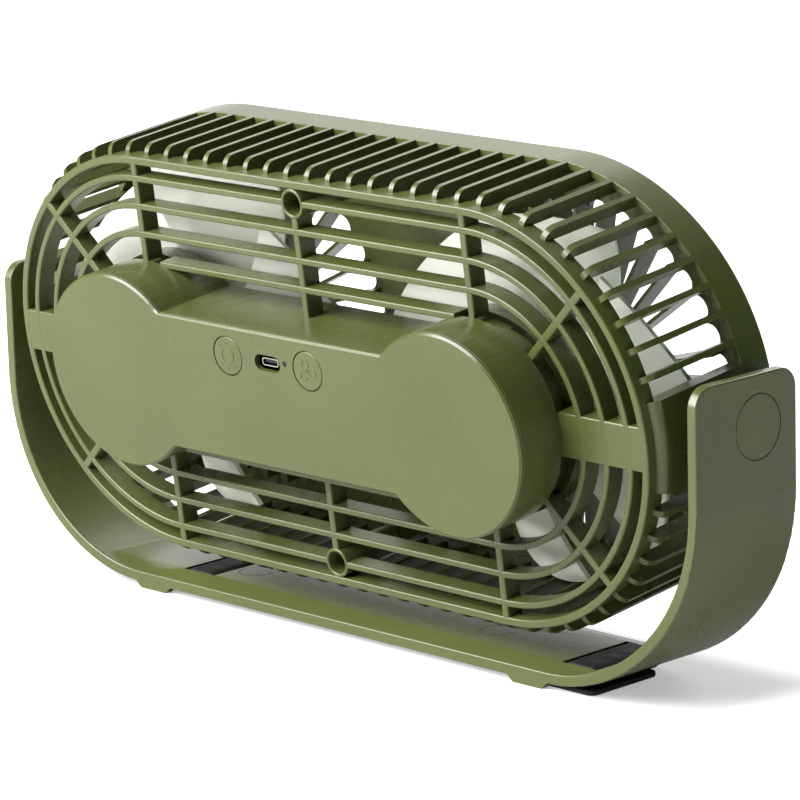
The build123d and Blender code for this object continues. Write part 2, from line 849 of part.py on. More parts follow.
def foot():
    """One foot under an edge of the stand."""
    height = foot_height + stand_wall / 2
    slope = (foot_length - foot_flat) / 2 / foot_height
    top = foot_flat / 2 + slope * height
    outline = Polygon(
        (-foot_flat / 2, 0), (foot_flat / 2, 0), (top, height), (-top, height), align=None
    )
    return extrude(Plane.XZ.offset(-foot_depth / 2) * outline, foot_depth)


def floor_plug(side, radius):
    """Round plug in the raised floor, or its recess."""
    centre = Pos(side * plug_spacing / 2, plug_shift, floor_top - plug_thickness / 2)
    return centre * Cylinder(radius, plug_thickness)


def strap_window(stand, middle):
    """Open the floor for one loop of the strap and leave a round-edged bar in the window."""
    length = loop_width + 2 * strap_gap
    width = strap_width + 2 * strap_gap
    stand -= Pos(middle, strap_shift, 0) * Box(length, width, 4 * floor_top)
    outline = RectangleRounded(bar_width, bar_high - bar_low, strap_bend - strap_thickness - strap_gap)
    plane = Plane.XZ.offset(-strap_shift - width / 2)
    return stand + extrude(plane * Pos(middle, (bar_low + bar_high) / 2) * outline, width)


def stand_bracket():
    """U-shaped stand with feet, raised floor, strap slots and pivot bosses."""
    half_depth = stand_depth / 2
    stand = extrude(Plane.XZ.offset(-half_depth) * stand_profile(), stand_depth)
    top_corners = stand.edges().filter_by(Axis.X).group_by(Axis.Z)[-1]
    stand = fillet(top_corners, arm_corner)
    rims = stand.edges().group_by(Axis.Y)
    stand = fillet(rims[0] + rims[-1], stand_edge)
    stand += stand_floor()
    for x, y in spots(foot_spacing / 2, half_depth - foot_depth / 2):
        stand += Pos(x, y, 0) * foot()
    groove = Box(right_loop + left_loop, strap_width + 2 * strap_gap, 2 * bar_low)
    stand -= Pos((right_loop - left_loop) / 2, strap_shift, 0) * groove
    for middle in (right_loop, -left_loop):
        stand = strap_window(stand, middle)
    for side in both:
        pivot = Pos(0, pivot_offset, pivot_height)
        boss_start = washer_face + pivot_play
        stand += pivot * side_rod(side, pivot_boss_radius, boss_start, arm_inside)
        stand -= pivot * side_rod(side, pivot_cap_radius + cap_groove, cap_seat, arm_outside)
        recess_radius = pivot_head_radius + pivot_head_gap
        stand -= pivot * side_rod(side, recess_radius, screw_seat - pivot_play, cap_seat)
        stand -= pivot * side_rod(side, shoulder_radius + pivot_fit, boss_start, screw_seat)
    for side in both:
        stand -= floor_plug(side, plug_radius + plug_groove)
    return stand


def floor_plugs():
    """Two flush round plugs in the raised floor."""
    return Compound(children=[floor_plug(side, plug_radius) for side in both])


def carry_strap():
    """Woven strap that wraps a bar of the floor at each end and runs under the stand."""
    run = Rectangle(right_loop + left_loop, strap_thickness)
    outline = Pos((right_loop - left_loop) / 2, strap_low + strap_thickness / 2) * run
    height = strap_high - strap_low
    ring = RectangleRounded(loop_width, height, strap_bend)
    ring -= offset(ring, -strap_thickness)
    for middle, way in ((right_loop, -1), (-left_loop, 1)):
        near_leg = Pos(middle + way * (loop_width - strap_bend) / 2, strap_low + strap_thickness / 2)
        end_gap = Pos(-way * (strap_bend + strap_end_gap) / 2, 0) * Rectangle(strap_end_gap, height)
        outline -= Pos(middle, strap_low) * Rectangle(loop_width, height)
        outline += Pos(middle, strap_low + height / 2) * ring
        outline += near_leg * Rectangle(strap_bend, strap_thickness)
        outline -= near_leg * (end_gap & Rectangle(4 * strap_bend, strap_thickness))
    return extrude(Plane.XZ.offset(-strap_shift - strap_width / 2) * outline, strap_width)


def strap_tab():
    """Rubber end piece under the left end of the strap."""
    outline = RectangleRounded(tab_length, tab_width, tab_corner)
    place = Pos(-strap_end - tab_overhang + tab_length / 2, tab_shift, tab_lift)
    return place * extrude(outline, tab_thickness)


# ---- Build and export ----
head_parts = {
    "rear_housing": rear_housing(),
    "side_shell": side_shell(),
    "rear_cover": rear_cover(),
    "fan_button": button(fan_button_x),
    "light_button": button(light_button_x),
    "fan_switch_plunger": switch_plunger(fan_button_x),
    "light_switch_plunger": switch_plunger(light_button_x),
    "tact_switches": tact_switches(),
    "usb_socket": usb_socket(),
    "socket_tongue": socket_tongue(),
    "indicator_light": indicator_light(),
    "control_board": control_board(),
    "board_screws": board_screws(),
    "cover_screws": cover_screws(),
    "motor_leads": motor_leads(),
    "lamp_lead": lamp_lead(),
    "battery_cells": battery_cells(),
    "battery_holder": battery_holder(),
    "motor_screws": motor_screws(),
    "front_grille": front_grille(),
    "housing_screws": housing_screws(),
    "lamp_housing": lamp_housing(),
    "lamp_board": lamp_board(),
    "lamp_led": lamp_led(),
    "lamp_reflector": lamp_reflector(),
    "lamp_lens": lamp_lens(),
}
stand_parts = {
    "stand_bracket": stand_bracket(),
    "floor_plugs": floor_plugs(),
    "carry_strap": carry_strap(),
    "strap_tab": strap_tab(),
}
for name, side in (("left", -1), ("right", 1)):
    head_parts[name + "_motor_can"] = motor_can(side * axle)
    head_parts[name + "_motor_end_cap"] = motor_end_cap(side * axle)
    head_parts[name + "_motor_bushes"] = motor_bushes(side * axle)
    head_parts[name + "_motor_magnets"] = motor_magnets(side * axle)
    head_parts[name + "_armature"] = armature(side * axle)
    head_parts[name + "_motor_shaft"] = motor_shaft(side * axle)
    head_parts[name + "_impeller"] = impeller(side * axle)
    head_parts[name + "_pivot_insert"] = pivot_insert(side)
    head_parts[name + "_pivot_washer"] = pivot_washer(side)
    head_parts[name + "_pivot_screw"] = pivot_screw(side)
    cap = pivot_cap(side)
    stand_parts[name + "_pivot_cap"] = Pos(0, pivot_offset, pivot_height) * cap

placed = {name: head_place * shape for name, shape in head_parts.items()}
placed.update(stand_parts)
boxes = [shape.bounding_box() for shape in placed.values()]
middle_y = (min(box.min.Y for box in boxes) + max(box.max.Y for box in boxes)) / 2
os.makedirs("parts", exist_ok=True)
for name, shape in placed.items():
    export_step(Pos(0, -middle_y, 0) * shape, "parts/" + name + ".step")
print("middle of the footprint from the middle of the stand:", round(middle_y, 4))
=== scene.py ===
import bpy
import bmesh
import json
from math import asin, cos, pi, radians, sin
from mathutils import Matrix, Vector


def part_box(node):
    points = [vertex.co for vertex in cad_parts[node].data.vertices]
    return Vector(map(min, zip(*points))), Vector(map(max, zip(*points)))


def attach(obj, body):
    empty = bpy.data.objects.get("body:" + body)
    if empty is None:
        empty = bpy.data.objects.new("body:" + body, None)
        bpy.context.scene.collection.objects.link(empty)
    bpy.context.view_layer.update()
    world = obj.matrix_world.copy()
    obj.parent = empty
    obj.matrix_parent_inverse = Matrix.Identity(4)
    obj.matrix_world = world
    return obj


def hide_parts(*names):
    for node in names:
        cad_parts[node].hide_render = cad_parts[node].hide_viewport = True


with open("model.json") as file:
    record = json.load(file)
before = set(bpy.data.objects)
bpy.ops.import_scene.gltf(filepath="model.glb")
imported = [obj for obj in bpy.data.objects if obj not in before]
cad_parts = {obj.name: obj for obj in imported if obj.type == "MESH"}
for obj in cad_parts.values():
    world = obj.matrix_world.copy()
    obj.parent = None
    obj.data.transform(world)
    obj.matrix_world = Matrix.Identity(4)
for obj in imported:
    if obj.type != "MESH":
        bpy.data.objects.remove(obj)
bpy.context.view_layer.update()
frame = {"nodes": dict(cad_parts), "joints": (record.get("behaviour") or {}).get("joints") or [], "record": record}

mm = 0.001
weld_gap = 0.001 * mm        # corners closer than this are one corner
sharp_angle = 32             # degrees over which an edge stays sharp
fillet_angle = 14            # the same, on pieces whose edges are already round
flat_angle = 0.5             # degrees under which two faces are one flat face
arc_step = radians(3)        # between the points of a curve

# ---- Sizes of the head, in metres and in the head's own upright frame ----
# The pivot axis is the origin, +Y is the rear and +Z is up. A depth counts forwards from the rim.
head_tilt = radians(7.1)
rotor_spacing = 154.0 * mm
shell_radius = 73.8 * mm
rim_radius = 70.0 * mm
rim_width = 2.8 * mm
grille_depth = 7.0 * mm
ring_width = 2.3 * mm
first_ring_inset = 7.7 * mm
ring_pitch = 9.8 * mm
rib_width = 2.8 * mm
side_arm_height = 14.8 * mm
bar_edge = 0.6 * mm          # rounding of the grille's bars
pod_radius = 33.9 * mm
bar_half = 23.5 * mm
boss_height = 62.2 * mm
boss_radius = 5.15 * mm
boss_hole_radius = 3.85 * mm
boss_depth = 26.0 * mm
boss_floor = 2.0 * mm
boss_screw_radius = 1.6 * mm
rim_to_pivot = 33.7 * mm
head_depth = 56.5 * mm
band_width = 12.8 * mm
band_wall = 2.5 * mm
band_edge = 1.1 * mm         # rounding of the front edge
slat_pitch = 9.72 * mm
slats_per_half = 36
slat_thickness = 2.0 * mm
slat_height = 4.6 * mm       # across the shell
slat_setback = 3.2 * mm      # rim to the rear end of a slat
slat_corner = 4.0 * mm
side_block_height = 30.6 * mm
side_block_thickness = 8.0 * mm
side_block_front = 52.0 * mm
pivot_boss_radius = 11.0 * mm
pivot_boss_bore = 3.2 * mm
pivot_boss_length = 7.0 * mm
pivot_face = 153.8 * mm
fine_edge = 0.3 * mm         # rounding left by the mould
cover_face = -18.7 * mm
controls_height = 13.3 * mm
light_button_x = 19.5 * mm
fan_button_x = -18.3 * mm
icon_line = 0.17 * mm        # radius of a raised line
cover_edge = 1.6 * mm        # cover's face to its seam
seam_line = 0.12 * mm        # radius of the seam's raised line

# ---- Overlaps and steps of the grille's bars ----
bar_overlap = 0.5 * mm       # of a bar's end into the piece it joins
rib_inset = 0.1 * mm         # of the ribs' rear faces, in front of the rim's
arm_inset = 0.05 * mm        # of the side arms' rear faces, in front of the rim's
boss_proud = 0.15 * mm       # of the screw bosses' rear ends, behind the rim's
wall_slack = 0.03 * mm       # allowed outside the compartment's outline

# ---- Sizes of the signs on the buttons ----
sun_radius = 2.7 * mm
sun_rays = 8
ray_start = 4.1 * mm
ray_end = 4.7 * mm
rotor_hub = 0.6 * mm
rotor_blades = 3
blade_radius = 1.5 * mm
blade_reach = 2.4 * mm       # hub's middle to a blade's middle
blade_shift = 0.7 * mm       # of a blade's middle, sideways
blade_half_angle = 0.75 * pi

# ---- Sizes of the strap ----
strap_thickness = 1.5 * mm
strap_bend = 3.0 * mm        # outer radius of a fold
strap_loop = 14.6 * mm
strap_tail = 8.6 * mm        # length of a loose end under the stand
cord_pitch = 1.25 * mm       # across the strap
cord_height = 0.14 * mm
cord_float = 1.8 * mm        # length of one rise and dive of a cord
cord_rise = 0.7              # mean share of its height that a cord reaches
cord_swing = 0.3             # how far that share goes up and down
steps_per_float = 3.0
steps_per_cord = 4.0
selvedge_share = 0.4         # of the strap's thickness, that rounds its long edges

# ---- Sizes of the patterns in the finishes ----
colour_patch = 45 * mm       # of a moulding's faint drift in colour
gloss_patch = 14 * mm
gloss_swing = 0.01
tool_mark = 0.25 * mm
bundle_mark = 0.6 * mm       # of wound wire and stacked sheets
mark_depth = 0.01 * mm
flow_mark = 3 * mm
flow_depth = 0.02 * mm
rib_spacing = 9.425 * mm     # along the strap, coarser than its threads
row_spacing = 7.54 * mm      # across the strap, coarser than its threads
weave_depth = 0.25 * mm
wave_bands = 20 / (2 * pi)   # bands that the wave texture draws in one unit

# ---- Floor and camera ----
floor_reach = 9.0
shade_half_width = 150 * mm  # half size of the painted shadow, a darker patch of floor under the fan
shade_half_depth = 35 * mm
shade_fade = 24 * mm         # width of the painted shadow's soft edge
bounce_drop = 0.5 * mm
aim_height = 90 * mm
camera_place = (-1.0426, 1.00516, 0.40765)
camera_azimuth = radians(225.54)
camera_elevation = radians(12.85)
camera_roll = radians(-1.53)
camera_lens = 201.36
camera_sensor = 36.0
camera_range = 50

# ---- Worked-out sizes ----
axle = rotor_spacing / 2
band_start = head_depth - band_width
slat_front = band_start + band_wall
slat_reach = (slats_per_half - 1) / 2 * slat_pitch
slat_last = (slat_reach - axle) / shell_radius
block_half_angle = side_block_height / 2 / shell_radius

tilt_joint = next(joint for joint in frame["joints"] if joint["name"] == "head_tilt")
head_place = Matrix.Translation(tilt_joint["pos_m"]) @ Matrix.Rotation(-head_tilt, 4, "X")
scene = bpy.context.scene


# ---- Colours and materials ----
def colour(code):
    """Linear colour of an sRGB hex value."""
    parts = [int(code[index:index + 2], 16) / 255 for index in (0, 2, 4)]
    linear = [part / 12.92 if part <= 0.04045 else ((part + 0.055) / 1.055) ** 2.4 for part in parts]
    return (*linear, 1.0)


def add(tree, kind, inputs=None, **settings):
    """Add a node with its settings, its values and its links."""
    node = tree.nodes.new(kind)
    for name, value in settings.items():
        setattr(node, name, value)
    for name, value in (inputs or {}).items():
        if isinstance(value, bpy.types.NodeSocket):
            tree.links.new(value, node.inputs[name])
        else:
            node.inputs[name].default_value = value
    return node


def new_material(name):
    """Empty material with its surface shader."""
    material = bpy.data.materials.new(name)
    material.use_nodes = True
    tree = material.node_tree
    tree.nodes.clear()
    shader = add(tree, "ShaderNodeBsdfPrincipled")
    add(tree, "ShaderNodeOutputMaterial", {"Surface": shader.outputs["BSDF"]})
    return material, tree, shader


def moulded(name, dark, light, rough, ior=1.54):
    """Smooth moulded plastic: a faint drift of its colour and slightly uneven gloss."""
    material, tree, shader = new_material(name)
    place = add(tree, "ShaderNodeTexCoord").outputs["Object"]
    drift = add(tree, "ShaderNodeTexNoise", {"Vector": place, "Scale": 1 / colour_patch, "Detail": 1.0})
    ramp = add(tree, "ShaderNodeValToRGB", {"Fac": drift.outputs["Fac"]})
    ramp.color_ramp.elements[0].position = 0.35
    ramp.color_ramp.elements[0].color = colour(dark)
    ramp.color_ramp.elements[1].position = 0.65
    ramp.color_ramp.elements[1].color = colour(light)
    wear = add(tree, "ShaderNodeTexNoise", {"Vector": place, "Scale": 1 / gloss_patch, "Detail": 1.0})
    gloss = add(tree, "ShaderNodeMapRange", {
        "Value": wear.outputs["Fac"], "From Min": 0.3, "From Max": 0.7,
        "To Min": rough - gloss_swing, "To Max": rough + gloss_swing,
    })
    shader.inputs["IOR"].default_value = ior
    tree.links.new(ramp.outputs["Color"], shader.inputs["Base Color"])
    tree.links.new(gloss.outputs["Result"], shader.inputs["Roughness"])
    return material


def metal(name, dark, light, rough, mark=tool_mark):
    """Metal with fine tool marks."""
    material, tree, shader = new_material(name)
    place = add(tree, "ShaderNodeTexCoord").outputs["Object"]
    marks = add(tree, "ShaderNodeTexNoise", {"Vector": place, "Scale": 1 / mark, "Detail": 3.0})
    ramp = add(tree, "ShaderNodeValToRGB", {"Fac": marks.outputs["Fac"]})
    ramp.color_ramp.elements[0].color = colour(dark)
    ramp.color_ramp.elements[1].color = colour(light)
    bump = add(tree, "ShaderNodeBump", {
        "Height": marks.outputs["Fac"], "Strength": 0.2, "Distance": mark_depth,
    })
    shader.inputs["Metallic"].default_value = 1.0
    shader.inputs["Roughness"].default_value = rough
    tree.links.new(ramp.outputs["Color"], shader.inputs["Base Color"])
    tree.links.new(bump.outputs["Normal"], shader.inputs["Normal"])
    return material


def milky_plastic():
    """Uncoloured polypropylene: light from behind glows softly through it."""
    material = moulded("moulded_natural_polypropylene", "F0F3E6", "F5F8EC", 0.42)
    shader = next(node for node in material.node_tree.nodes if node.type == "BSDF_PRINCIPLED")
    shader.inputs["Transmission Weight"].default_value = 0.08
    return material


def woven_webbing():
    """Polyester webbing: soft ribs along and across it, wider apart than its threads so that they show."""
    material, tree, shader = new_material("woven_black_webbing")
    place = add(tree, "ShaderNodeTexCoord").outputs["Object"]
    across = add(tree, "ShaderNodeTexWave", {
        "Vector": place, "Scale": 1 / (rib_spacing * wave_bands), "Distortion": 0.4, "Detail": 1.0,
    }, bands_direction="X")
    along = add(tree, "ShaderNodeTexWave", {
        "Vector": place, "Scale": 1 / (row_spacing * wave_bands), "Distortion": 0.6, "Detail": 1.0,
    }, bands_direction="Y")
    weave = add(tree, "ShaderNodeMath", {
        0: across.outputs["Fac"], 1: along.outputs["Fac"],
    }, operation="MULTIPLY")
    ramp = add(tree, "ShaderNodeValToRGB", {"Fac": weave.outputs["Value"]})
    ramp.color_ramp.elements[0].color = colour("050605")
    ramp.color_ramp.elements[1].color = colour("151814")
    bump = add(tree, "ShaderNodeBump", {
        "Height": weave.outputs["Value"], "Strength": 0.8, "Distance": weave_depth,
    })
    shader.inputs["Roughness"].default_value = 0.6
    shader.inputs["Specular IOR Level"].default_value = 0.3
    tree.links.new(ramp.outputs["Color"], shader.inputs["Base Color"])
    tree.links.new(bump.outputs["Normal"], shader.inputs["Normal"])
    return material


def clear_acrylic(name, tint):
    """Polished acrylic with faint flow marks."""
    material, tree, shader = new_material(name)
    place = add(tree, "ShaderNodeTexCoord").outputs["Object"]
    flow = add(tree, "ShaderNodeTexNoise", {"Vector": place, "Scale": 1 / flow_mark})
    bump = add(tree, "ShaderNodeBump", {
        "Height": flow.outputs["Fac"], "Strength": 0.1, "Distance": flow_depth,
    })
    shader.inputs["Base Color"].default_value = colour(tint)
    shader.inputs["Roughness"].default_value = 0.05
    shader.inputs["IOR"].default_value = 1.49
    shader.inputs["Transmission Weight"].default_value = 1.0
    tree.links.new(bump.outputs["Normal"], shader.inputs["Normal"])
    return material


# Satin olive: even colour, soft highlights along every rounded edge.
olive_abs = moulded("moulded_olive_abs", "4C522A", "50562D", 0.27)
# Milky white that glows where light comes through the blades.
pale_pp = milky_plastic()
# Dull black that stays quiet behind the buttons and round the cells.
black_nylon = moulded("moulded_black_nylon", "141513", "1D1E1B", 0.5)
# Deep black with a clear reflection, round the lamp.
black_gloss = moulded("polished_black_abs", "0C0D0C", "121312", 0.15)
# Flat soft black, a little browner than the strap.
black_rubber = moulded("moulded_black_rubber", "161714", "1D1E1A", 0.7, ior=1.3)
# Warm white of bare nylon on the ends of the motors.
white_nylon = moulded("moulded_white_nylon", "D8D6CC", "E2E0D6", 0.45)
# Dark green lacquer with a wet shine.
green_board = moulded("lacquered_circuit_board", "0E3A1C", "17502A", 0.25)
# Blue sleeve, smooth and slightly shiny.
battery_sleeve = moulded("shrink_sleeve_pvc", "1F3E7A", "274B8C", 0.3)
# Plain red wire cover.
red_wire = moulded("extruded_red_pvc", "8C1A16", "A0221C", 0.4)
# Yellow pad of the lamp's light source.
phosphor = moulded("cast_phosphor_silicone", "C9A227", "D8B43A", 0.3)
# Dark grey and dull, like pressed powder.
ferrite = moulded("sintered_ferrite", "232323", "2E2E2E", 0.7)
# Bright metal with a slightly warm shine.
nickel_steel = metal("nickel_plated_steel", "B9B7B0", "CFCDC6", 0.22)
# Cooler and duller metal of the screws.
zinc_steel = metal("zinc_plated_steel", "A9ABAC", "BFC1C2", 0.32)
# Brown-gold and porous.
bronze = metal("sintered_bronze", "A8794A", "BF9060", 0.45)
# Yellow metal with turning marks.
brass = metal("turned_brass", "B8934A", "CDA85C", 0.3)
# Red-brown bundle of wire and steel sheets.
copper = metal("wound_copper_and_steel", "7A4A30", "A5643C", 0.4, mark=bundle_mark)
# Pale brushed metal under the lamp's light source.
aluminium = metal("satin_aluminium", "BFC1C2", "D2D4D5", 0.35)
# Mirror that throws the lamp's light forwards.
mirror_coat = metal("vacuum_metallised_plastic", "DADBDB", "ECEDED", 0.08)
# Near-black matt cloth whose raised cords catch a little light.
webbing = woven_webbing()
# Clear window over the lamp.
acrylic = clear_acrylic("polished_clear_acrylic", "F2F5F2")
# Dark glassy dot beside the socket.
smoked_acrylic = clear_acrylic("polished_smoked_acrylic", "2A2B22")

cad_finish = {
    "rear_housing": olive_abs, "side_shell": olive_abs, "rear_cover": olive_abs,
    "front_grille": olive_abs, "stand_bracket": olive_abs, "floor_plugs": olive_abs,
    "fan_button": olive_abs, "light_button": olive_abs,
    "fan_switch_plunger": black_nylon, "light_switch_plunger": black_nylon,
    "tact_switches": black_nylon, "usb_socket": nickel_steel, "socket_tongue": black_nylon,
    "indicator_light": smoked_acrylic, "control_board": green_board, "board_screws": zinc_steel,
    "cover_screws": zinc_steel, "motor_leads": red_wire, "lamp_lead": red_wire,
    "battery_cells": battery_sleeve, "battery_holder": black_nylon,
    "motor_screws": zinc_steel, "housing_screws": zinc_steel, "lamp_housing": black_gloss,
    "lamp_board": aluminium, "lamp_led": phosphor, "lamp_reflector": mirror_coat,
    "lamp_lens": acrylic, "carry_strap": webbing, "strap_tab": black_rubber,
}
for side in ("left", "right"):
    cad_finish.update({
        side + "_motor_can": nickel_steel, side + "_motor_end_cap": white_nylon,
        side + "_motor_bushes": bronze, side + "_motor_magnets": ferrite,
        side + "_armature": copper, side + "_motor_shaft": nickel_steel,
        side + "_impeller": pale_pp, side + "_pivot_insert": brass,
        side + "_pivot_washer": black_nylon, side + "_pivot_screw": zinc_steel,
        side + "_pivot_cap": olive_abs,
    })
for name, node in frame["nodes"].items():
    node.data.materials.clear()
    node.data.materials.append(cad_finish[name])


# ---- Pieces and their places ----
def body_with(name):
    """CAD body that carries a node."""
    return next(body for body, names in frame["record"]["behaviour"]["bodies"].items() if name in names)


def new_piece(name, mesh, node):
    """Piece that rides with a node's body."""
    mesh.name = name
    piece = bpy.data.objects.new(name, mesh)
    scene.collection.objects.link(piece)
    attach(piece, body_with(node))
    return piece


def smooth_faces(mesh, angle=sharp_angle):
    """Shade a mesh smooth and keep edges over an angle in degrees sharp."""
    mesh.shade_smooth()
    mesh.set_sharp_from_angle(angle=radians(angle))


# ---- Mouldings with soft edges ----
def merged_copy(name):
    """Copy of a moulded node with its loose triangles joined."""
    mesh = frame["nodes"][name].data.copy()
    shape = bmesh.new()
    shape.from_mesh(mesh)
    bmesh.ops.remove_doubles(shape, verts=shape.verts, dist=weld_gap)
    return mesh, shape


def even_shading(piece):
    """Keep large flat faces flat beside their rounded edges."""
    shading = piece.modifiers.new("even shading", "WEIGHTED_NORMAL")
    shading.keep_sharp = True


def filleted_moulding(name):
    """Copy of a moulded node whose edges are already round."""
    mesh, shape = merged_copy(name)
    shape.to_mesh(mesh)
    shape.free()
    smooth_faces(mesh, fillet_angle)
    piece = new_piece(name + "_moulding", mesh, name)
    even_shading(piece)
    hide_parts(name)


def soft_moulding(name, edge):
    """Copy of a moulded node with its flat faces joined and its sharp edges rounded."""
    mesh, shape = merged_copy(name)
    limit = radians(flat_angle)
    bmesh.ops.dissolve_limit(shape, angle_limit=limit, verts=shape.verts, edges=shape.edges)
    shape.to_mesh(mesh)
    shape.free()
    smooth_faces(mesh)
    piece = new_piece(name + "_moulding", mesh, name)
    rounding = piece.modifiers.new("rounded edges", "BEVEL")
    rounding.width = edge
    rounding.segments = 2
    rounding.limit_method = "ANGLE"
    rounding.angle_limit = radians(sharp_angle)
    rounding.use_clamp_overlap = False
    rounding.harden_normals = True
    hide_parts(name)


# Rounding of each small moulding's edges, in millimetres.
moulding_edges = {
    "fan_button": 0.15, "light_button": 0.15, "left_pivot_cap": 0.25, "right_pivot_cap": 0.25,
    "floor_plugs": 0.2, "strap_tab": 0.5,
}
for name, edge in moulding_edges.items():
    soft_moulding(name, edge * mm)
for name in ("stand_bracket", "rear_cover", "front_grille", "left_impeller", "right_impeller"):
    filleted_moulding(name)


# ---- Node trees that grow a piece along a path ----
def new_tree(name, sockets):
    """Empty geometry tree with a path, named sizes and a material as its inputs."""
    tree = bpy.data.node_groups.new(name, "GeometryNodeTree")
    tree.interface.new_socket("Path", in_out="INPUT", socket_type="NodeSocketGeometry")
    for label, kind in sockets.items():
        tree.interface.new_socket(label, in_out="INPUT", socket_type=kind)
    tree.interface.new_socket("Material", in_out="INPUT", socket_type="NodeSocketMaterial")
    tree.interface.new_socket("Piece", in_out="OUTPUT", socket_type="NodeSocketGeometry")
    return tree, add(tree, "NodeGroupInput").outputs


def finish_tree(tree, given, shape):
    """End a tree with real geometry in its material."""
    real = add(tree, "GeometryNodeRealizeInstances", {"Geometry": shape})
    painted = add(tree, "GeometryNodeSetMaterial", {
        "Geometry": real.outputs["Geometry"], "Material": given["Material"],
    })
    add(tree, "NodeGroupOutput", {"Piece": painted.outputs["Geometry"]})
    return tree


section_sockets = {
    "Width": "NodeSocketFloat", "Depth": "NodeSocketFloat", "Front Edge": "NodeSocketFloat",
    "Rear Corner": "NodeSocketFloat", "Rear Edge": "NodeSocketFloat",
}


def rounded_section(tree, given):
    """Rectangle inside the path, with its front edges, rear outer corner and rear inner edge rounded."""
    plain = add(tree, "GeometryNodeCurvePrimitiveQuadrilateral", {
        "Width": given["Width"], "Height": given["Depth"],
    }, mode="RECTANGLE")
    position = add(tree, "GeometryNodeInputPosition").outputs["Position"]
    place = add(tree, "ShaderNodeSeparateXYZ", {"Vector": position})
    outer = add(tree, "FunctionNodeCompare", {0: place.outputs["X"], 1: 0.0}, operation="GREATER_THAN")
    rear = add(tree, "FunctionNodeCompare", {0: place.outputs["Y"], 1: 0.0}, operation="GREATER_THAN")
    rear_radius = add(tree, "GeometryNodeSwitch", {
        "Switch": outer.outputs["Result"], "False": given["Rear Edge"], "True": given["Rear Corner"],
    }, input_type="FLOAT")
    radius = add(tree, "GeometryNodeSwitch", {
        "Switch": rear.outputs["Result"], "False": given["Front Edge"],
        "True": rear_radius.outputs["Output"],
    }, input_type="FLOAT")
    rounded = add(tree, "GeometryNodeFilletCurve", {
        "Curve": plain.outputs["Curve"], "Count": 5, "Radius": radius.outputs["Output"],
    }, mode="POLY")
    inset = add(tree, "ShaderNodeMath", {0: given["Width"], 1: -0.5}, operation="MULTIPLY")
    shift = add(tree, "ShaderNodeCombineXYZ", {"X": inset.outputs["Value"]})
    return add(tree, "GeometryNodeTransform", {
        "Geometry": rounded.outputs["Curve"], "Translation": shift.outputs["Vector"],
    }).outputs["Geometry"]


def swept_tree():
    """Rounded section swept along the path, upright all the way."""
    tree, given = new_tree("swept_section", section_sockets)
    level = add(tree, "GeometryNodeSetCurveNormal", {"Curve": given["Path"]}, mode="Z_UP")
    body = add(tree, "GeometryNodeCurveToMesh", {
        "Curve": level.outputs["Curve"], "Profile Curve": rounded_section(tree, given),
        "Fill Caps": True,
    })
    return finish_tree(tree, given, body.outputs["Mesh"])


def spread_tree():
    """Flat slats with a rounded section, spread evenly along the path and square to it."""
    tree, given = new_tree("spread_slats", {
        "Count": "NodeSocketInt", "Thickness": "NodeSocketFloat", **section_sockets,
    })
    half = add(tree, "ShaderNodeMath", {0: given["Thickness"], 1: 0.5}, operation="MULTIPLY")
    end = add(tree, "ShaderNodeCombineXYZ", {"Z": half.outputs["Value"]})
    start = add(tree, "ShaderNodeVectorMath", {0: end.outputs["Vector"], "Scale": -1.0}, operation="SCALE")
    line = add(tree, "GeometryNodeCurvePrimitiveLine", {
        "Start": start.outputs["Vector"], "End": end.outputs["Vector"],
    })
    slat = add(tree, "GeometryNodeCurveToMesh", {
        "Curve": line.outputs["Curve"], "Profile Curve": rounded_section(tree, given), "Fill Caps": True,
    })
    level = add(tree, "GeometryNodeSetCurveNormal", {"Curve": given["Path"]}, mode="Z_UP")
    places = add(tree, "GeometryNodeCurveToPoints", {
        "Curve": level.outputs["Curve"], "Count": given["Count"],
    }, mode="COUNT")
    slats = add(tree, "GeometryNodeInstanceOnPoints", {
        "Points": places.outputs["Points"], "Instance": slat.outputs["Mesh"],
        "Rotation": places.outputs["Rotation"],
    })
    return finish_tree(tree, given, slats.outputs["Instances"])


def line_tree():
    """Thin round line along the path."""
    tree, given = new_tree("raised_line", {"Radius": "NodeSocketFloat"})
    level = add(tree, "GeometryNodeSetCurveNormal", {"Curve": given["Path"]}, mode="Z_UP")
    section = add(tree, "GeometryNodeCurvePrimitiveCircle", {"Resolution": 8, "Radius": given["Radius"]})
    line = add(tree, "GeometryNodeCurveToMesh", {
        "Curve": level.outputs["Curve"], "Profile Curve": section.outputs["Curve"],
        "Fill Caps": True,
    })
    return finish_tree(tree, given, line.outputs["Mesh"])


